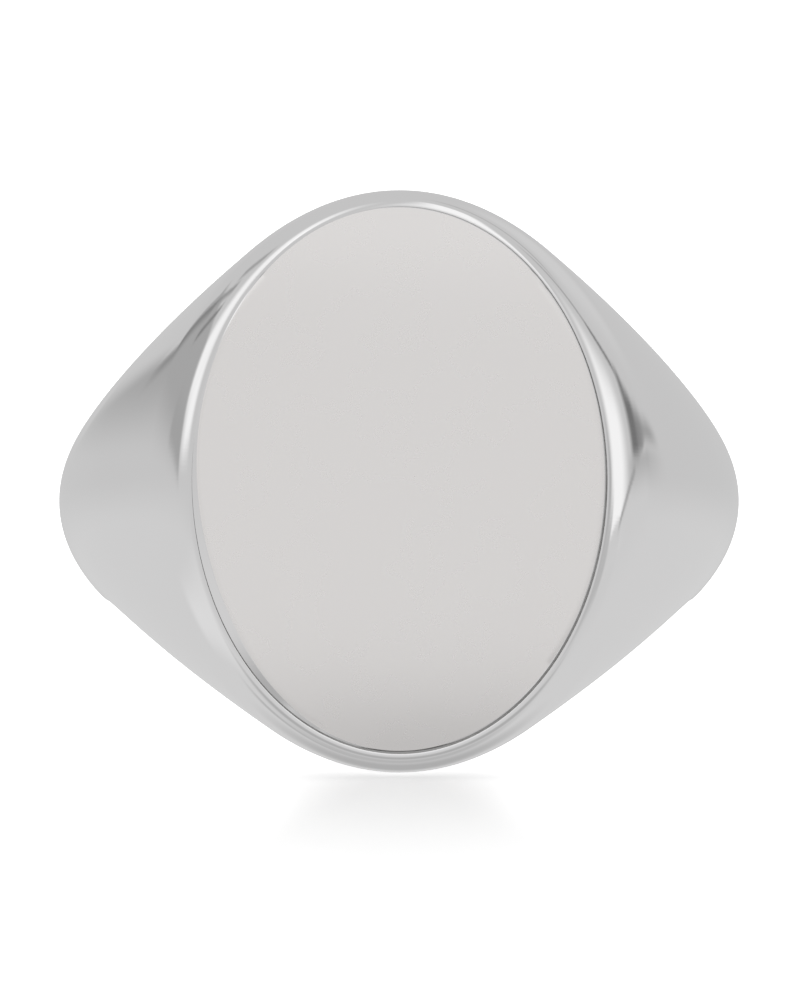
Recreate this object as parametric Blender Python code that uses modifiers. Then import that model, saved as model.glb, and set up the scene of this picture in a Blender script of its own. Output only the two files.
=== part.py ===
"""Men's oval signet ring: a cast shank and head, a satin table plate, and the solder under it.

Units are metres. The finger bore runs along Z. The signet table faces -Y, and the origin is at
the centre of its flat face. X runs across the finger.
"""

import math

import bmesh
import bpy
import numpy as np

MM = 0.001

# Finger bore and shank
BORE_RADIUS = 9.5 * MM          # a US size 9 finger
SHANK_RADIUS = 11.25 * MM       # outside of the shank at the sides and the back
BORE_CENTRE_Y = 11.8 * MM       # depth of the bore's axis behind the table
EDGE_ROUND = 0.35 * MM          # rounding where the skin meets the bore
SIDE_HEIGHT = 6.45 * MM         # half-height of the skin's full oval at the sides
BACK_HEIGHT = 4.7 * MM          # the same at the back of the shank
SHOULDER_RISE = 3.5 * MM        # how far the shoulders swell out of the shank's circle
SHOULDER_POWER = 2.5            # how late the swelling starts
TAPER_SLOPE = 0.36              # how fast the shoulders widen along the finger
TAPER_SOFTNESS = 3.0 * MM       # how gradually that widening starts

# Head: its skin rolls over into a bead that ends at the plate's edge
LIP_DEPTH = 0.40 * MM           # the bead ends this far behind the table
BEAD_DEPTH = 0.95 * MM          # depth of the bead's roll
BEAD_POWER = 2.2                # roundness of the roll: 2 is an ellipse's quarter

# Table plate and its seat
PLATE_WIDTH = 6.62 * MM         # half-width of the plate
PLATE_HEIGHT = 8.75 * MM        # half-height of the plate
PLATE_THICKNESS = 0.85 * MM
PLATE_BEVEL = 0.14 * MM
SEAT_GAP = 0.04 * MM            # clearance all round the plate
SEAT_DEPTH = 1.05 * MM          # the seat's floor lies this far behind the table
SOLDER_THICKNESS = 0.14 * MM
SOLDER_INSET = 0.20 * MM        # the solder stops short of the plate's edge

# Fineness of the faceted solids
OVAL_STEPS = 20                 # steps over the outer skin, from lower edge to upper edge
TURN_STEPS = 13                 # steps in each quarter turn around the finger
HEAD_STEPS = 7                  # steps over the head's bead
ROUND_STEPS = 2                 # steps over each rounded edge of the bore
BORE_STEPS = 2                  # steps across the bore
PLATE_SIDES = 80                # sides of the plate's and the solder's outline
PLAN_SAMPLES = 2000             # samples along the shoulder's plan curve

POLISHED_SILVER = (0.86, 0.85, 0.84, 1.0)
SATIN_SILVER = (0.80, 0.79, 0.78, 1.0)
SOLDER_GREY = (0.62, 0.61, 0.60, 1.0)


def plan_curve():
    """The shoulder seen along the finger: y and x, relative to the bore's axis, head to side."""
    turn = np.linspace(0.0, math.pi / 2, PLAN_SAMPLES)
    radius = SHANK_RADIUS + SHOULDER_RISE * np.cos(turn) ** SHOULDER_POWER
    return -radius * np.cos(turn), radius * np.sin(turn)


PLAN_Y, PLAN_X = plan_curve()
LIP_Y = LIP_DEPTH - BORE_CENTRE_Y
SEAT_WIDTH = PLATE_WIDTH + SEAT_GAP
SEAT_HEIGHT = PLATE_HEIGHT + SEAT_GAP


def shoulder_width(y):
    """Half-width of the shoulders at depth y, relative to the bore's axis, without the bead."""
    return float(np.interp(y, PLAN_Y, PLAN_X))


def shoulder_height(y):
    """Half-height of the shoulders at depth y, relative to the bore's axis, without the bead."""
    return SIDE_HEIGHT + TAPER_SLOPE * (math.hypot(y, TAPER_SOFTNESS) - TAPER_SOFTNESS)


def bead_roll(y):
    """How far the bead has rolled in at depth y: 1 at the plate's edge, 0 where the roll starts."""
    left = max(0.0, min(1.0, 1.0 - (y - LIP_Y) / BEAD_DEPTH))
    return 1.0 - (1.0 - left ** BEAD_POWER) ** (1.0 / BEAD_POWER)


def level_width(y):
    """Half-width of the skin's oval at depth y, relative to the bore's axis."""
    return shoulder_width(y) - (shoulder_width(LIP_Y) - SEAT_WIDTH) * bead_roll(y)


def level_height(y):
    """Half-height of the skin's oval at depth y, relative to the bore's axis."""
    return shoulder_height(y) - (shoulder_height(LIP_Y) - SEAT_HEIGHT) * bead_roll(y)


def back_height(turn):
    """Half-height of the skin's oval behind the sides, at an angle from the head's middle."""
    share = (1.0 - math.cos(2.0 * (turn - math.pi / 2))) / 2.0
    return SIDE_HEIGHT + (BACK_HEIGHT - SIDE_HEIGHT) * share


def world(x, y, z):
    """A point given relative to the bore's axis, in the ring's own frame."""
    return (x, y + BORE_CENTRE_Y, z)


def oval_row(half_width, half_height, y):
    """Half an oval at one depth, from its lowest point round +X to its highest."""
    angles = np.linspace(-math.pi / 2, math.pi / 2, OVAL_STEPS + 1)
    return [world(half_width * math.cos(a), y, half_height * math.sin(a)) for a in angles]


def skin_point(turn, radius):
    """The skin's upper point at an angle round the finger and a distance from the bore's axis."""
    x, y = radius * math.sin(turn), -radius * math.cos(turn)
    if y < 0.0:
        width, height = level_width(y), level_height(y)
        return x, y, height * math.sqrt(1.0 - min(1.0, x / width) ** 2)
    height = back_height(turn)
    return x, y, height * math.sqrt(1.0 - (radius / SHANK_RADIUS) ** 2)


def skin_arc(turn):
    """The skin from its lower edge to its upper edge at one angle round the finger."""
    stop = BORE_RADIUS + EDGE_ROUND
    steps = np.linspace(-1.0, 1.0, OVAL_STEPS + 1)
    if turn > math.pi / 2:
        reach = math.acos(stop / SHANK_RADIUS)
        points = []
        for step in steps:
            radius = SHANK_RADIUS * math.cos(step * reach)
            z = back_height(turn) * math.sin(step * reach)
            points.append(world(radius * math.sin(turn), -radius * math.cos(turn), z))
        return points
    edge_y = -stop * math.cos(turn)
    reach = math.acos(min(1.0, stop * math.sin(turn) / level_width(edge_y)))
    middle_y = -stop * (1.0 - turn / (math.pi / 2))
    points = []
    for step in steps:
        y = edge_y + (middle_y - edge_y) * (1.0 - step * step)
        angle = step * reach
        if abs(step) < 1.0:
            points.append(world(level_width(y) * math.cos(angle), y, level_height(y) * math.sin(angle)))
        else:
            x, y, z = skin_point(turn, stop)
            points.append(world(x, y, math.copysign(z, step)))
    return points


def rounded_edge(turn):
    """The curve from the skin's upper edge to the bore's wall, ends left out, and the bore's end."""
    start = np.array(skin_point(turn, BORE_RADIUS + EDGE_ROUND))
    corner = np.array(skin_point(turn, BORE_RADIUS))
    end = corner - np.array((0.0, 0.0, EDGE_ROUND))
    curve = []
    for step in range(1, ROUND_STEPS):
        t = step / ROUND_STEPS
        curve.append((1 - t) ** 2 * start + 2 * t * (1 - t) * corner + t * t * end)
    return curve, end


def section(turn):
    """One closed section of the shank: skin, upper edge, bore and lower edge."""
    curve, bore_end = rounded_edge(turn)
    upper = [world(*point) for point in curve]
    lower = [world(x, y, -z) for x, y, z in reversed(curve)]
    heights = np.linspace(bore_end[2], -bore_end[2], BORE_STEPS + 1)
    bore = [world(bore_end[0], bore_end[1], z) for z in heights]
    return skin_arc(turn) + upper + bore + lower


def head_rows():
    """Half-ovals from the middle of the plate's seat, up to its edge and over the bead."""
    seat_y = SEAT_DEPTH - BORE_CENTRE_Y
    rows = [oval_row(0.0, SEAT_HEIGHT, seat_y), oval_row(SEAT_WIDTH, SEAT_HEIGHT, seat_y)]
    depths = [LIP_Y + BEAD_DEPTH * (1.0 - math.cos(a)) for a in np.linspace(0.0, math.pi / 2, HEAD_STEPS + 1)]
    for y in depths + [-(BORE_RADIUS + EDGE_ROUND)]:
        rows.append(oval_row(level_width(y), level_height(y), y))
    return rows


def add_grid(shape, rows, closed):
    """Quads between neighbouring rows of points; a closed row also joins its end to its start."""
    verts = [[shape.verts.new(point) for point in row] for row in rows]
    for first, second in zip(verts, verts[1:]):
        count = len(first)
        for i in range(count if closed else count - 1):
            j = (i + 1) % count
            shape.faces.new((first[i], first[j], second[j], second[i]))


def make_object(name, shape, material, collection):
    """A smooth-shaded object made of a bmesh."""
    mesh = bpy.data.meshes.new(name)
    shape.to_mesh(mesh)
    shape.free()
    mesh.materials.append(material)
    mesh.shade_smooth()
    mesh.set_sharp_from_angle(angle=math.radians(35))
    thing = bpy.data.objects.new(name, mesh)
    collection.objects.link(thing)
    return thing


def make_material(name, colour, roughness):
    """A metal."""
    material = bpy.data.materials.new(name)
    material.use_nodes = True
    surface = material.node_tree.nodes["Principled BSDF"]
    surface.inputs["Base Color"].default_value = colour
    surface.inputs["Metallic"].default_value = 1.0
    surface.inputs["Roughness"].default_value = roughness
    return material


def make_ring_body(collection):
    """The cast body: half of it as a loft from the head round the finger, then mirrored."""
    shape = bmesh.new()
    add_grid(shape, head_rows(), closed=False)
    turns = np.linspace(0.0, math.pi, 2 * TURN_STEPS + 1)
    add_grid(shape, [section(turn) for turn in turns], closed=True)
    bmesh.ops.remove_doubles(shape, verts=shape.verts[:], dist=0.0005 * MM)
    bmesh.ops.recalc_face_normals(shape, faces=shape.faces[:])
    for vert in shape.verts:
        if abs(vert.co.x) < 0.0005 * MM:
            vert.co.x = 0.0
    body = make_object("ring_body", shape, make_material("polished_silver", POLISHED_SILVER, 0.08),
                       collection)
    mirror = body.modifiers.new("other_half", "MIRROR")
    mirror.use_axis = (True, False, False)
    mirror.merge_threshold = 0.001 * MM
    return body


def oval_slab(half_width, half_height, front_y, thickness):
    """An oval slab whose front face lies at front_y and whose thickness runs towards +Y."""
    shape = bmesh.new()
    bmesh.ops.create_cone(shape, cap_ends=True, segments=PLATE_SIDES, radius1=1.0, radius2=1.0, depth=1.0)
    for vert in shape.verts:
        x, z, side = vert.co
        vert.co = (x * half_width, front_y + (0.5 - side) * thickness, z * half_height)
    bmesh.ops.recalc_face_normals(shape, faces=shape.faces[:])
    return shape


def make_face_plate(collection):
    """The table plate, with a bevel round its front face."""
    shape = oval_slab(PLATE_WIDTH, PLATE_HEIGHT, 0.0, PLATE_THICKNESS)
    rim = [edge for edge in shape.edges if all(vert.co.y < 0.1 * MM for vert in edge.verts)]
    bmesh.ops.bevel(shape, geom=rim, offset=PLATE_BEVEL, segments=1, affect="EDGES")
    material = make_material("satin_silver", SATIN_SILVER, 0.38)
    return make_object("face_plate", shape, material, collection)


def make_solder_layer(collection):
    """The thin sheet of solder between the plate and its seat."""
    gap = (SEAT_DEPTH - PLATE_THICKNESS - SOLDER_THICKNESS) / 2
    shape = oval_slab(PLATE_WIDTH - SOLDER_INSET, PLATE_HEIGHT - SOLDER_INSET,
                      PLATE_THICKNESS + gap, SOLDER_THICKNESS)
    material = make_material("silver_solder", SOLDER_GREY, 0.45)
    return make_object("solder_layer", shape, material, collection)


def main():
    for thing in list(bpy.data.objects):
        bpy.data.objects.remove(thing, do_unlink=True)
    collection = bpy.data.collections.new("signet_ring")
    bpy.context.scene.collection.children.link(collection)
    make_ring_body(collection)
    make_face_plate(collection)
    make_solder_layer(collection)


main()
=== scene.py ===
"""Looks of the oval signet ring: polished cast body, satin table plate, solder, light tent.

Units are metres, in the CAD's frame: the finger bore runs along Z, the signet table faces -Y and
the origin is the centre of its flat face.
"""

import math

import bmesh
import bpy
import numpy as np
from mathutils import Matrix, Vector


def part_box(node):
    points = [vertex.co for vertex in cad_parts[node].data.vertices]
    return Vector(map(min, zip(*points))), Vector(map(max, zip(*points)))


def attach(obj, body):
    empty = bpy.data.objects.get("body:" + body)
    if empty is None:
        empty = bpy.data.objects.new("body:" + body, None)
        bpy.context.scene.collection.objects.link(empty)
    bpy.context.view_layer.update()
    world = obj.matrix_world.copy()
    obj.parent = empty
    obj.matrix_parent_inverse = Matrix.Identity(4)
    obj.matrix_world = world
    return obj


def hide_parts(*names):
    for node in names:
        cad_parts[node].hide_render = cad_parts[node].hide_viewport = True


MM = 0.001

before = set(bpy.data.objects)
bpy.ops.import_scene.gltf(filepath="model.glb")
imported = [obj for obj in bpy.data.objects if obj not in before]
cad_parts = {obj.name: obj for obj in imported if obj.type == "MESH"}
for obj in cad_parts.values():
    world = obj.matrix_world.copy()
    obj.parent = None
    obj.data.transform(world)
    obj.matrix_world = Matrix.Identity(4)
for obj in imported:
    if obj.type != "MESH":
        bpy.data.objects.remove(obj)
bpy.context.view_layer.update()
BODY_LOW, BODY_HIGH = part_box("ring_body")
PLATE_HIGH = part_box("face_plate")[1]
SOLDER_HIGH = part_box("solder_layer")[1]

# Sizes read from the CAD
SHANK_RADIUS = BODY_HIGH[0]
BORE_CENTRE_Y = BODY_HIGH[1] - SHANK_RADIUS
LIP_Y = BODY_LOW[1] - BORE_CENTRE_Y
PLATE_WIDTH = PLATE_HIGH[0]
PLATE_HEIGHT = PLATE_HIGH[2]
PLATE_BACK = PLATE_HIGH[1]
SEAT_ROOM = 1.2                 # the seat lies this much deeper behind the plate than the solder's back
SEAT_Y = PLATE_BACK + (SOLDER_HIGH[1] - PLATE_BACK) * SEAT_ROOM

# Body
BORE_RADIUS = 9.5 * MM
EDGE_ROUND = 0.35 * MM
SIDE_HEIGHT = 6.45 * MM
BACK_HEIGHT = 4.7 * MM
SHOULDER_RISE = 3.5 * MM
SHOULDER_POWER = 2.5
TAPER_SLOPE = 0.36
TAPER_SOFTNESS = 3.0 * MM
BEAD_DEPTH = 0.95 * MM
BEAD_POWER = 2.2
SEAT_GAP = 0.04 * MM
SEAT_WIDTH = PLATE_WIDTH + SEAT_GAP
SEAT_HEIGHT = PLATE_HEIGHT + SEAT_GAP
COLLAR_Y = BODY_LOW[1] + 0.04 * MM
COLLAR_GAP = 0.003 * MM
BODY_SHARP = 35                 # degrees: steeper edges than this are shaded sharp
MERGE_GAP = 0.0002 * MM
MIRROR_GAP = 0.0005 * MM

# Plate
PLATE_SHIFT = (-0.026 * MM, 0.0, 0.028 * MM)    # the plate sits a hair up and left in its seat
BEVEL_NARROW = 0.03 * MM
BEVEL_WIDE = 0.28 * MM          # the hand-cut bevel is widest low on the left
BEVEL_TURN = math.radians(207)
BEVEL_POWER = 6
BEVEL_SLOPE = 0.14
BEVEL_STOPS = (0.12, 0.5, 0.88, 1.0)
CROWN_TOP = 0.28 * MM           # the satin face rolls off this much at its top
CROWN_FOOT = 0.38 * MM          # and this much at its bottom
CROWN_POWER = 4
PLATE_SHARP = 20

# Materials: colours, and roughness from one end of the pattern to the other
SILVER_TINTS = (0.922, 0.917, 0.919), (0.932, 0.927, 0.929)
SILVER_LINES = (0.0, 0.02)      # roughness that the buffing lines add
SILVER_HAZE = (0.035, 0.06)
SILVER_BUMP = 0.0002 * MM
SATIN_TINTS = (0.945, 0.922, 0.910), (0.955, 0.932, 0.920)
SATIN_ROUGHNESS = (0.265, 0.285)
SATIN_BUMP = 0.0008 * MM
# the joint round the plate and the seat under it are painted darker: painted shade for the gap's shadow
SEAM_SHADE_TINTS = (0.44, 0.44, 0.44), (0.56, 0.55, 0.54)
SEAM_ROUGHNESS = (0.45, 0.65)
SOLDER_TINTS = (0.57, 0.56, 0.54), (0.67, 0.66, 0.64)
SOLDER_ROUGHNESS = (0.42, 0.60)
SOLDER_BUMP = 0.004 * MM

# Studio
LOWER_TONE = 0.655              # the tent below the horizon
UPPER_TONE = 0.59               # and above it
PAINTED_MIRROR_GLOW = 0.42                # painted reflection: the silver glows this grey, standing for the tent once a ray has been mirrored too often
MIRROR_LIMIT = 2.5              # which is after three times
SHEET_WHITE = 0.9
FLOOR_SIZE = 600 * MM
FLOOR_GAP = 0.02 * MM
FLOOR_PAINTED_GLOW = 0.60               # painted light: the sheet glows softly, and fully beside and behind the ring, where it hides the ring's shadow
PAINTED_GLOW_SIDES = (0.5 * MM, 5.5 * MM)
PAINTED_GLOW_FLARE = 0.5                # the dimmer patch, where the shadow shows, widens by this share of the way to the camera
PAINTED_GLOW_BACK = (2.5 * MM, 7 * MM)
SUN_STRENGTH = 2.4
SUN_SPREAD = 60
SUN_TURN = 180
SUN_LIFT = 70

# Camera
CAMERA_DISTANCE = 350 * MM
CAMERA_TURN = -0.1
CAMERA_LIFT = -3.5
CAMERA_LENS = 380.5
CAMERA_SHIFT = (0.001, 0.0015)
CAMERA_CLIP = (0.01, 10.0)

# Fineness
OVAL_STEPS = 96
TURN_STEPS = 90
HEAD_STEPS = 8
BEAD_STEPS = 28
ROUND_STEPS = 8
BORE_STEPS = 14
PLATE_SIDES = 256
FACE_STEPS = 40
SEAT_ROWS = 2                   # the head's first rows of faces: the seat's floor and its wall, in the seam's painted shade
PLAN_SAMPLES = 4000


def plan_curve():
    turn = np.linspace(0.0, math.pi / 2, PLAN_SAMPLES)
    radius = SHANK_RADIUS + SHOULDER_RISE * np.cos(turn) ** SHOULDER_POWER
    return -radius * np.cos(turn), radius * np.sin(turn)


PLAN_Y, PLAN_X = plan_curve()


def shoulder_width(y):
    return np.interp(y, PLAN_Y, PLAN_X)


def shoulder_height(y):
    return SIDE_HEIGHT + TAPER_SLOPE * (np.hypot(y, TAPER_SOFTNESS) - TAPER_SOFTNESS)


def bead_roll(y):
    left = np.clip(1.0 - (y - LIP_Y) / BEAD_DEPTH, 0.0, 1.0)
    return 1.0 - (1.0 - left ** BEAD_POWER) ** (1.0 / BEAD_POWER)


def level_width(y):
    return shoulder_width(y) - (shoulder_width(LIP_Y) - SEAT_WIDTH) * bead_roll(y)


def level_height(y):
    return shoulder_height(y) - (shoulder_height(LIP_Y) - SEAT_HEIGHT) * bead_roll(y)


def back_height(turn):
    share = (1.0 - math.cos(2.0 * (turn - math.pi / 2))) / 2.0
    return SIDE_HEIGHT + (BACK_HEIGHT - SIDE_HEIGHT) * share


def points(x, y, z):
    """Arrays relative to the bore's axis, as rows of points in the ring's frame."""
    x, y, z = np.broadcast_arrays(x, y, z)
    return np.column_stack((x, y + BORE_CENTRE_Y, z))


def oval_row(half_width, half_height, y):
    angles = np.linspace(-math.pi / 2, math.pi / 2, OVAL_STEPS + 1)
    return points(half_width * np.cos(angles), y, half_height * np.sin(angles))


def skin_point(turn, radius):
    x, y = radius * math.sin(turn), -radius * math.cos(turn)
    if y < 0.0:
        z = level_height(y) * math.sqrt(1.0 - min(1.0, x / level_width(y)) ** 2)
    else:
        z = back_height(turn) * math.sqrt(1.0 - (radius / SHANK_RADIUS) ** 2)
    return np.array((x, y, z))


def skin_arc(turn):
    stop = BORE_RADIUS + EDGE_ROUND
    steps = np.linspace(-1.0, 1.0, OVAL_STEPS + 1)
    if turn > math.pi / 2:
        angles = steps * math.acos(stop / SHANK_RADIUS)
        radius = SHANK_RADIUS * np.cos(angles)
        height = back_height(turn) * np.sin(angles)
        return points(radius * math.sin(turn), -radius * math.cos(turn), height)
    edge_y = -stop * math.cos(turn)
    reach = math.acos(min(1.0, stop * math.sin(turn) / level_width(edge_y)))
    middle_y = -stop * (1.0 - turn / (math.pi / 2))
    y = edge_y + (middle_y - edge_y) * (1.0 - steps * steps)
    angles = steps * reach
    return points(level_width(y) * np.cos(angles), y, level_height(y) * np.sin(angles))


def section(turn):
    start = skin_point(turn, BORE_RADIUS + EDGE_ROUND)
    corner = skin_point(turn, BORE_RADIUS)
    end = corner - np.array((0.0, 0.0, EDGE_ROUND))
    t = np.linspace(0.0, 1.0, ROUND_STEPS + 1)[1:-1, None]
    curve = (1 - t) ** 2 * start + 2 * t * (1 - t) * corner + t * t * end
    upper = points(*curve.T)
    lower = points(curve[::-1, 0], curve[::-1, 1], -curve[::-1, 2])
    bore = points(end[0], end[1], np.linspace(end[2], -end[2], BORE_STEPS + 1))
    return np.vstack((skin_arc(turn), upper, bore, lower))


def head_rows():
    seat_y = SEAT_Y - BORE_CENTRE_Y
    rows = [oval_row(0.0, SEAT_HEIGHT, seat_y), oval_row(SEAT_WIDTH, SEAT_HEIGHT, seat_y)]
    roll = LIP_Y + BEAD_DEPTH * (1.0 - np.cos(np.linspace(0.0, math.pi / 2, BEAD_STEPS + 1)))
    rest = np.linspace(roll[-1], -(BORE_RADIUS + EDGE_ROUND), HEAD_STEPS + 1)[1:]
    for y in np.concatenate((roll, rest)):
        rows.append(oval_row(level_width(y), level_height(y), y))
    return rows


def add_grid(shape, rows, closed, painted_shade_rows=0):
    verts = [[shape.verts.new(point) for point in row] for row in rows]
    for k, (first, second) in enumerate(zip(verts, verts[1:])):
        count = len(first)
        for i in range(count if closed else count - 1):
            j = (i + 1) % count
            face = shape.faces.new((first[i], first[j], second[j], second[i]))
            face.material_index = 1 if k < painted_shade_rows else 0


def finish_piece(name, shape, materials, sharp):
    mesh = bpy.data.meshes.new(name)
    shape.to_mesh(mesh)
    shape.free()
    for material in materials:
        mesh.materials.append(material)
    mesh.shade_smooth()
    mesh.set_sharp_from_angle(angle=math.radians(sharp))
    piece = bpy.data.objects.new(name, mesh)
    bpy.context.scene.collection.objects.link(piece)
    return piece


def make_body(polished, seam):
    """Half of the cast ring and its mirror image; the seat under the plate gets the seam's painted
    shade.
    """
    shape = bmesh.new()
    add_grid(shape, head_rows(), closed=False, painted_shade_rows=SEAT_ROWS)
    turns = np.linspace(0.0, math.pi, 2 * TURN_STEPS + 1)
    add_grid(shape, [section(turn) for turn in turns], closed=True)
    bmesh.ops.remove_doubles(shape, verts=shape.verts[:], dist=MERGE_GAP)
    bmesh.ops.recalc_face_normals(shape, faces=shape.faces[:])
    for vert in shape.verts:
        if abs(vert.co.x) < MIRROR_GAP:
            vert.co.x = 0.0
    piece = finish_piece("polished_body", shape, [polished, seam], BODY_SHARP)
    mirror = piece.modifiers.new("other_half", "MIRROR")
    mirror.use_axis = (True, False, False)
    mirror.merge_threshold = MIRROR_GAP
    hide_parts("ring_body")
    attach(piece, "root")
    return piece


def make_plate(satin, polished, seam):
    """Oval plate: a crowned satin face, an uneven polished bevel, sides and back in the seam's painted
    shade.
    """
    shape = bmesh.new()
    angles = np.linspace(0.0, 2 * math.pi, PLATE_SIDES, endpoint=False)
    rings = []
    for share in np.linspace(0.0, 1.0, FACE_STEPS + 1)[1:]:
        rings.append((face_ring(angles, share), 0))
    inner, outer = rings[-1][0], rim_ring(angles)
    drop = np.linalg.norm(outer - inner, axis=1) * BEVEL_SLOPE
    outer[:, 1] = inner[:, 1] + drop
    for step in BEVEL_STOPS:
        rings.append((inner + (outer - inner) * step, 1))
    collar = outer.copy()
    collar[:, 1] = COLLAR_Y
    rings.append((collar, 2))
    for y in (COLLAR_Y, PLATE_BACK):
        rings.append((collar_ring(angles, y), 2))
    loops = [[shape.verts.new(point) for point in ring] for ring, _ in rings]
    centre = shape.verts.new((0.0, 0.0, 0.0))
    for i in range(PLATE_SIDES):
        j = (i + 1) % PLATE_SIDES
        shape.faces.new((centre, loops[0][i], loops[0][j]))
        for k in range(len(loops) - 1):
            face = shape.faces.new((loops[k][i], loops[k + 1][i], loops[k + 1][j], loops[k][j]))
            face.material_index = rings[k + 1][1]
    shape.faces.new(loops[-1][::-1]).material_index = 2
    bmesh.ops.recalc_face_normals(shape, faces=shape.faces[:])
    bmesh.ops.translate(shape, vec=PLATE_SHIFT, verts=shape.verts[:])
    piece = finish_piece("table_plate", shape, [satin, polished, seam], PLATE_SHARP)
    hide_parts("face_plate")
    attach(piece, "root")
    return piece


def face_ring(angles, share):
    """The satin face rolls off up and down, and its edge follows the uneven bevel."""
    lean = np.clip(np.cos(angles - BEVEL_TURN), 0.0, 1.0)
    bevel = BEVEL_NARROW + (BEVEL_WIDE - BEVEL_NARROW) * lean ** BEVEL_POWER
    x = (PLATE_WIDTH - bevel) * share * np.cos(angles)
    z = (PLATE_HEIGHT - bevel) * share * np.sin(angles)
    crown = np.where(z > 0.0, CROWN_TOP, CROWN_FOOT)
    return np.column_stack((x, crown * (share * np.sin(angles)) ** CROWN_POWER, z))


def rim_ring(angles):
    """The plate's outline, level with the middle of its face."""
    x, z = PLATE_WIDTH * np.cos(angles), PLATE_HEIGHT * np.sin(angles)
    return np.column_stack((x, np.zeros(len(angles)), z))


def collar_ring(angles, y):
    """A thin collar fills the joint, in the seam's painted shade: just off the seat's wall wherever the
    plate sits.
    """
    x = (SEAT_WIDTH - COLLAR_GAP) * np.cos(angles) - PLATE_SHIFT[0]
    z = (SEAT_HEIGHT - COLLAR_GAP) * np.sin(angles) - PLATE_SHIFT[2]
    return np.column_stack((x, np.full(len(angles), y), z))


class Graph:
    """Short names for the few kinds of node the materials and the tent are made of."""

    def __init__(self, tree):
        self.tree = tree

    def put(self, socket, value):
        if isinstance(value, bpy.types.NodeSocket):
            self.tree.links.new(value, socket)
        else:
            socket.default_value = value

    def math(self, operation, *values):
        node = self.tree.nodes.new("ShaderNodeMath")
        node.operation = operation
        for socket, value in zip(node.inputs, values):
            self.put(socket, value)
        return node.outputs[0]

    def dot(self, vector, direction):
        node = self.tree.nodes.new("ShaderNodeVectorMath")
        node.operation = "DOT_PRODUCT"
        self.put(node.inputs[0], vector)
        self.put(node.inputs[1], direction)
        return node.outputs["Value"]

    def stretch(self, vector, scale):
        node = self.tree.nodes.new("ShaderNodeVectorMath")
        node.operation = "MULTIPLY"
        self.put(node.inputs[0], vector)
        self.put(node.inputs[1], scale)
        return node.outputs["Vector"]

    def fade(self, value, start, end, low=0.0, high=1.0, smooth=True):
        """Runs from low at start to high at end, and stays there."""
        node = self.tree.nodes.new("ShaderNodeMapRange")
        node.interpolation_type = "SMOOTHSTEP" if smooth else "LINEAR"
        for name, number in (("From Min", start), ("From Max", end), ("To Min", low), ("To Max", high)):
            node.inputs[name].default_value = number
        self.put(node.inputs["Value"], value)
        return node.outputs["Result"]

    def blend(self, share, first, second):
        node = self.tree.nodes.new("ShaderNodeMix")
        self.put(node.inputs["Factor"], share)
        self.put(node.inputs["A"], first)
        self.put(node.inputs["B"], second)
        return node.outputs["Result"]

    def tint(self, share, first, second):
        node = self.tree.nodes.new("ShaderNodeMix")
        node.data_type = "RGBA"
        sockets = [socket for socket in node.inputs if socket.type == "RGBA"]
        self.put(node.inputs["Factor"], share)
        self.put(sockets[0], (*first, 1))
        self.put(sockets[1], (*second, 1))
        return next(socket for socket in node.outputs if socket.type == "RGBA")

    def bump(self, height, depth):
        """Depth is how far the surface dips where the height goes from one to nothing."""
        node = self.tree.nodes.new("ShaderNodeBump")
        node.inputs["Distance"].default_value = depth
        self.put(node.inputs["Height"], height)
        return node.outputs["Normal"]

    def noise(self, vector, scale, detail=3.0, roughness=0.5):
        node = self.tree.nodes.new("ShaderNodeTexNoise")
        node.inputs["Scale"].default_value = scale
        node.inputs["Detail"].default_value = detail
        node.inputs["Roughness"].default_value = roughness
        self.put(node.inputs["Vector"], vector)
        return node.outputs["Fac"]

    def coordinates(self, name):
        return self.tree.nodes.new("ShaderNodeTexCoord").outputs[name]

    def ray(self, name):
        return self.tree.nodes.new("ShaderNodeLightPath").outputs[name]


def metal(name):
    material = bpy.data.materials.new(name)
    material.use_nodes = True
    surface = material.node_tree.nodes["Principled BSDF"]
    surface.inputs["Metallic"].default_value = 1.0
    return material, Graph(material.node_tree), surface.inputs


def polished_silver():
    """Mirror polish, with faint buffing lines round the finger and a little haze."""
    material, graph, surface = metal("polished_silver")
    place = graph.coordinates("Object")
    lines = graph.noise(graph.stretch(place, (900, 900, 16000)), 1.0, 2.0)
    haze = graph.noise(place, 260.0, 2.0)
    buffed = graph.fade(lines, 0.35, 0.65, *SILVER_LINES)
    dulled = graph.fade(haze, 0.3, 0.7, *SILVER_HAZE)
    graph.put(surface["Roughness"], graph.math("ADD", buffed, dulled))
    graph.put(surface["Base Color"], graph.tint(haze, *SILVER_TINTS))
    graph.put(surface["Normal"], graph.bump(lines, SILVER_BUMP))
    # Inside the bore a mirror sees itself without end: after a few turns the silver glows with the
    # tent's mean grey, a painted reflection
    tree = material.node_tree
    painted_mirror_glow = tree.nodes.new("ShaderNodeEmission")
    painted_mirror_glow.inputs["Strength"].default_value = PAINTED_MIRROR_GLOW
    mix = tree.nodes.new("ShaderNodeMixShader")
    graph.put(mix.inputs[0], graph.math("GREATER_THAN", graph.ray("Glossy Depth"), MIRROR_LIMIT))
    graph.put(mix.inputs[1], tree.nodes["Principled BSDF"].outputs["BSDF"])
    graph.put(mix.inputs[2], painted_mirror_glow.outputs["Emission"])
    graph.put(tree.nodes["Material Output"].inputs["Surface"], mix.outputs["Shader"])
    material.cycles.emission_sampling = "NONE"
    return material


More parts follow.
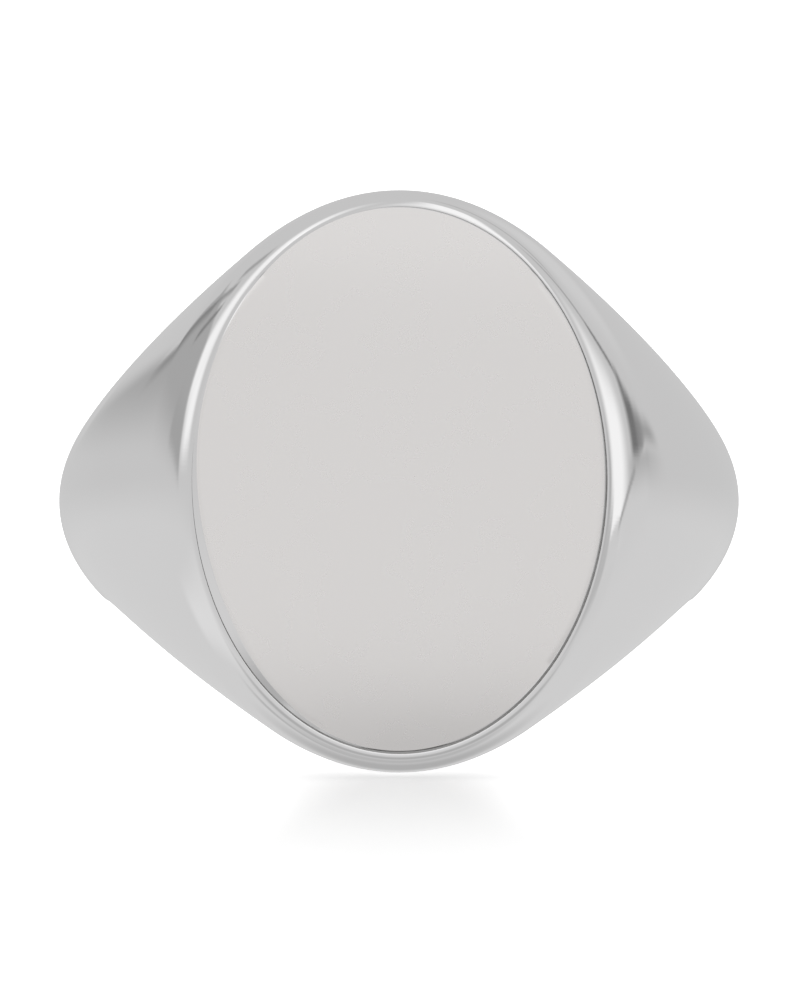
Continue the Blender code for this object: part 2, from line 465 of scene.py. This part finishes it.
def satin_silver():
    """Even matting: a very fine grain, and broad patches that are barely there."""
    material, graph, surface = metal("satin_silver")
    place = graph.coordinates("Object")
    grain = graph.noise(graph.stretch(place, (11000, 11000, 7000)), 1.0, 3.0)
    patches = graph.noise(place, 420.0, 6.0, 0.6)
    graph.put(surface["Roughness"], graph.fade(patches, 0.3, 0.7, *SATIN_ROUGHNESS))
    graph.put(surface["Base Color"], graph.tint(patches, *SATIN_TINTS))
    graph.put(surface["Normal"], graph.bump(grain, SATIN_BUMP))
    return material


def seam_painted_shade():
    """The joint round the plate: darker, duller silver, painted shade that stands for the shadow in the
    gap.
    """
    material, graph, surface = metal("seam_painted_shade")
    seam_shade_noise = graph.noise(graph.coordinates("Object"), 2500.0)
    graph.put(surface["Roughness"], graph.fade(seam_shade_noise, 0.3, 0.7, *SEAM_ROUGHNESS))
    graph.put(surface["Base Color"], graph.tint(seam_shade_noise, *SEAM_SHADE_TINTS))
    return material


def dull_solder():
    """Solder as it freezes: slightly grainy, a little warmer and duller than the silver."""
    material, graph, surface = metal("dull_solder")
    grain = graph.noise(graph.coordinates("Object"), 1800.0)
    graph.put(surface["Roughness"], graph.fade(grain, 0.3, 0.7, *SOLDER_ROUGHNESS))
    graph.put(surface["Base Color"], graph.tint(grain, *SOLDER_TINTS))
    graph.put(surface["Normal"], graph.bump(grain, SOLDER_BUMP))
    return material


def way(turn, lift):
    """The direction turned from the camera's side (-Y) towards +X, and lifted, in degrees."""
    turn, lift = math.radians(turn), math.radians(lift)
    return Vector((math.cos(lift) * math.sin(turn), -math.cos(lift) * math.cos(turn), math.sin(lift)))


def spread(angle):
    return math.tan(math.radians(angle))


def seen_flat(graph, direction, forward, right, up):
    """Where a ray goes on a sheet square to forward: across, up, and 1 where the sheet is ahead."""
    ahead = graph.dot(direction, forward)
    depth = graph.math("MAXIMUM", ahead, 0.0001)
    across = graph.math("DIVIDE", graph.dot(direction, right), depth)
    height = graph.math("DIVIDE", graph.dot(direction, up), depth)
    return across, height, graph.math("GREATER_THAN", ahead, 0.0)


def card(graph, direction, tone, first, last, below, above, fade_below, fade_above, fade_ends, level):
    """A long card between two directions. It reaches below and above that line, and has soft edges."""
    first, last = way(*first), way(*last)
    forward, right = (first + last).normalized(), (last - first).normalized()
    up = right.cross(forward)
    if up.z < 0.0:
        up.negate()
    across, height, ahead = seen_flat(graph, direction, forward, right, up)
    half = (last - first).length / (first + last).length
    ends, low, high = (spread(angle) / 2 for angle in (fade_ends, fade_below, fade_above))
    share = graph.fade(graph.math("ABSOLUTE", across), half + ends, half - ends)
    share = graph.math("MULTIPLY", share, graph.fade(height, spread(above) + high, spread(above) - high))
    share = graph.math("MULTIPLY", share, graph.fade(height, -spread(below) - low, -spread(below) + low))
    return graph.blend(graph.math("MULTIPLY", share, ahead), tone, level)


def soft_box(graph, direction, tone, aim, width, height, power, soft, level):
    """A panel with rounded corners and soft edges; width and height are half sizes in degrees."""
    forward = way(*aim)
    right = forward.cross(Vector((0, 0, 1))).normalized()
    across, upward, ahead = seen_flat(graph, direction, forward, right, right.cross(forward))
    total = 0.0
    for position, size in ((across, width), (upward, height)):
        share = graph.math("DIVIDE", graph.math("ABSOLUTE", position), spread(size))
        total = graph.math("ADD", total, graph.math("POWER", share, power))
    reach = graph.math("POWER", total, 1.0 / power)
    share = graph.fade(reach, 1 + soft / 2, 1 - soft / 2)
    return graph.blend(graph.math("MULTIPLY", share, ahead), tone, level)


def tent_tone(graph, direction):
    """Grey of the light tent round the ring, as its polish mirrors it.

    Each card: turn and lift of its two ends, how far it reaches below and above the line between
    them, the softness of its lower edge, upper edge and ends, all in degrees, and its level.
    """
    lift = graph.dot(direction, (0, 0, 1))
    tone = graph.fade(lift, -0.07, 0.10, LOWER_TONE, UPPER_TONE)

    def add_card(*numbers):
        return card(graph, direction, tone, *numbers)

    # Below: the ring's own shadow under it, two dim strips in front, a lit sheet low on the left
    tone = soft_box(graph, direction, tone, (0, -89), 38, 38, 2, 1.3, 0.45)
    tone = add_card((-28, -32), (28, -32), 13, 10, 18, 16, 24, 0.49)
    tone = add_card((-20, -7), (-78, -20), 5, 6, 10, 10, 20, 0.75)
    tone = add_card((-48, -30), (-14, -44), 5, 5, 7, 7, 10, 0.48)
    tone = add_card((-24, -15), (24, -15), 6, 6, 8, 8, 14, 0.44)
    # Above right: a paler roof with a dim joint
    tone = add_card((60, 52), (130, 36), 20, 14, 20, 20, 30, 0.65)
    tone = add_card((16, 52), (46, 33), 2, 2, 4, 4, 10, 0.42)
    # Left: a shaded wall with a flag near the lens, dark along the gap where the roof begins
    tone = add_card((-52, 5), (-165, 11), 0, 26, 14, 4, 10, 0.40)
    tone = add_card((-76, 10), (-52, 4), 0, 8, 4, 6, 6, 0.38)
    tone = add_card((-58, 35), (-92, 35), 1.5, 1, 3, 2, 8, 0.32)
    tone = add_card((-88, 35), (-134, 21), 2, 1, 5, 2, 8, 0.24)
    tone = add_card((-62, 31), (-88, 28), 1, 1, 2.5, 2.5, 6, 0.22)
    tone = add_card((-98, 37), (-136, 21), 0, 30, 2, 4, 4, 0.59)
    tone = add_card((-130, 23), (-176, 6), 0, 30, 4, 4, 6, 0.60)
    tone = add_card((-36, 35), (-70, 40), 1.5, 1.5, 3, 3, 8, 0.36)
    # Front left: a soft box that rises towards the lens, with a hotter end
    tone = add_card((-46, 10), (-22, 10), 4, 6, 5, 8, 16, 0.95)
    tone = add_card((-50, 17), (-6, 19), 5, 7, 6, 10, 12, 0.95)
    tone = add_card((-9, 14), (-9, 19), 3, 3, 6, 6, 6, 1.08)
    # Right: the side box, the gap under the roof, a black flag, and the table's edge under them
    tone = add_card((24, 9), (63, 9), 16, 8, 3, 14, 20, 0.96)
    tone = add_card((26, 29), (56, 27), 1, 1, 3, 3, 8, 0.33)
    tone = add_card((56, 26.5), (78, 21.5), 1, 1, 3, 3, 6, 0.17)
    tone = add_card((94, 12.5), (115, 12), 1.8, 1.2, 4, 5, 5, 0.33)
    tone = add_card((86, 12), (102, 12), 4.2, 3.5, 4, 7, 14, 0.27)
    tone = add_card((78, 20), (84, 20), 3, 2, 4, 4, 8, 0.22)
    tone = add_card((77.5, 13), (91, 12), 6.2, 6, 3, 6, 9, 0.18)
    tone = add_card((57, -1.5), (104, 10), 12, 0.2, 20, 1.5, 12, 0.64)
    tone = add_card((25, -2), (60, -1.2), 12, 0.2, 20, 1.5, 6, 0.63)
    tone = add_card((72, 5), (112, 7), 2, 2, 8, 3, 16, 0.45)
    tone = add_card((54, -2.2), (80, 5.5), 0.7, 0.7, 1.5, 1.5, 6, 0.35)
    # Around the lens: its dark side, a narrow bright strip above it, and a bright spot behind it
    tone = add_card((15, -2), (16, 5), 5, 5, 6, 6, 5, 0.42)
    tone = add_card((12, 0), (33, -1), 6, 2.5, 6, 5, 8, 0.50)
    tone = add_card((4, 9), (9, 30), 4, 4, 4, 4, 6, 0.99)
    tone = add_card((-3, 1), (3, 1), 3, 3, 5, 5, 5, 1.0)
    return tone


def make_world():
    """White behind the ring, the tent in its reflections, and no light of its own on the floor."""
    world = bpy.data.worlds.new("tent")
    bpy.context.scene.world = world
    world.use_nodes = True
    world.cycles.sampling_method = "NONE"
    graph = Graph(world.node_tree)
    tone = tent_tone(graph, graph.coordinates("Generated"))
    tone = graph.blend(graph.ray("Is Diffuse Ray"), tone, 0.0)
    tone = graph.blend(graph.ray("Is Camera Ray"), tone, 1.0)
    graph.put(world.node_tree.nodes["Background"].inputs["Strength"], tone)
    world.node_tree.nodes["Background"].inputs["Color"].default_value = (1, 1, 1, 1)


def make_floor():
    """A pale sheet the ring leans on: it touches the head's lower rim and the shank's back edge."""
    mesh = bpy.data.meshes.new("floor")
    verts = np.array([vert.co for vert in bpy.data.objects["ring_body"].data.vertices])
    front = verts[verts[:, 2].argmin()]
    behind = verts[verts[:, 1] > BORE_CENTRE_Y + BORE_RADIUS]
    slopes = (behind[:, 2] - front[2]) / (behind[:, 1] - front[1])
    tilt = math.atan(slopes.min())
    half = FLOOR_SIZE / 2
    corners = [Vector((x, y * math.cos(tilt), y * math.sin(tilt))) for x, y in
               ((-half, -half), (half, -half), (half, half), (-half, half))]
    middle = Vector((0.0, front[1], front[2] - FLOOR_GAP))
    mesh.from_pydata([middle + corner for corner in corners], [], [(0, 1, 2, 3)])
    floor = bpy.data.objects.new("floor", mesh)
    bpy.context.scene.collection.objects.link(floor)

    material = bpy.data.materials.new("pale_sheet")
    material.use_nodes = True
    tree = material.node_tree
    graph = Graph(tree)
    surface = tree.nodes["Principled BSDF"]
    surface.inputs["Base Color"].default_value = (SHEET_WHITE, SHEET_WHITE, SHEET_WHITE, 1)
    surface.inputs["Roughness"].default_value = 1.0
    surface.inputs["Specular IOR Level"].default_value = 0.0
    surface.inputs["Emission Color"].default_value = (1, 1, 1, 1)
    # Painted light: the sheet glows, fully beside and behind the ring to wash out its shadow there, less
    # in a patch in front where the shadow shows
    place = tree.nodes.new("ShaderNodeNewGeometry").outputs["Position"]
    ahead = graph.math("MINIMUM", graph.dot(place, (0, 1, 0)), 0.0)
    side = graph.math("ABSOLUTE", graph.dot(place, (1, 0, 0)))
    side = graph.math("ADD", side, graph.math("MULTIPLY", ahead, PAINTED_GLOW_FLARE))
    side = graph.fade(side, *PAINTED_GLOW_SIDES)
    back = graph.fade(graph.dot(place, (0, 1, 0)), *PAINTED_GLOW_BACK)
    painted_floor_glow = graph.blend(graph.math("MAXIMUM", side, back), FLOOR_PAINTED_GLOW, 1.0)
    graph.put(surface.inputs["Emission Strength"], painted_floor_glow)
    clear = tree.nodes.new("ShaderNodeBsdfTransparent")
    mix = tree.nodes.new("ShaderNodeMixShader")
    under = tree.nodes.new("ShaderNodeNewGeometry").outputs["Backfacing"]
    graph.put(mix.inputs[0], graph.math("MAXIMUM", under, graph.ray("Is Glossy Ray")))
    graph.put(mix.inputs[1], surface.outputs["BSDF"])
    graph.put(mix.inputs[2], clear.outputs["BSDF"])
    graph.put(tree.nodes["Material Output"].inputs["Surface"], mix.outputs["Shader"])
    mesh.materials.append(material)
    return floor


def make_light():
    """One large soft light above and behind the ring, for its shadow on the floor."""
    data = bpy.data.lights.new("overhead", "SUN")
    data.energy = SUN_STRENGTH
    data.angle = math.radians(SUN_SPREAD)
    light = bpy.data.objects.new("overhead", data)
    light.rotation_euler = (-way(SUN_TURN, SUN_LIFT)).to_track_quat("-Z", "Y").to_euler()
    light.visible_glossy = False
    bpy.context.scene.collection.objects.link(light)


def make_camera():
    """Looks at the bore's axis from the table's side, a little from below and a hair from the left."""
    data = bpy.data.cameras.new("camera")
    camera = bpy.data.objects.new("camera", data)
    bpy.context.scene.collection.objects.link(camera)
    turn, lift = math.radians(CAMERA_TURN), math.radians(CAMERA_LIFT)
    away = Vector((math.sin(turn) * math.cos(lift), -math.cos(turn) * math.cos(lift), math.sin(lift)))
    camera.location = Vector((0.0, BORE_CENTRE_Y, 0.0)) + away * CAMERA_DISTANCE
    camera.rotation_euler = (-away).to_track_quat("-Z", "Y").to_euler()
    data.lens = CAMERA_LENS
    data.clip_start, data.clip_end = CAMERA_CLIP
    data.shift_x, data.shift_y = CAMERA_SHIFT
    bpy.context.scene.camera = camera


def main():
    silver, seam = polished_silver(), seam_painted_shade()
    make_body(silver, seam)
    make_plate(satin_silver(), silver, seam)
    solder = bpy.data.objects["solder_layer"]
    if not solder.material_slots:
        solder.data.materials.append(None)
    solder.material_slots[0].link = "OBJECT"
    solder.material_slots[0].material = dull_solder()
    make_world()
    make_floor()
    make_light()
    make_camera()
    bpy.context.scene.view_settings.view_transform = "Standard"


main()
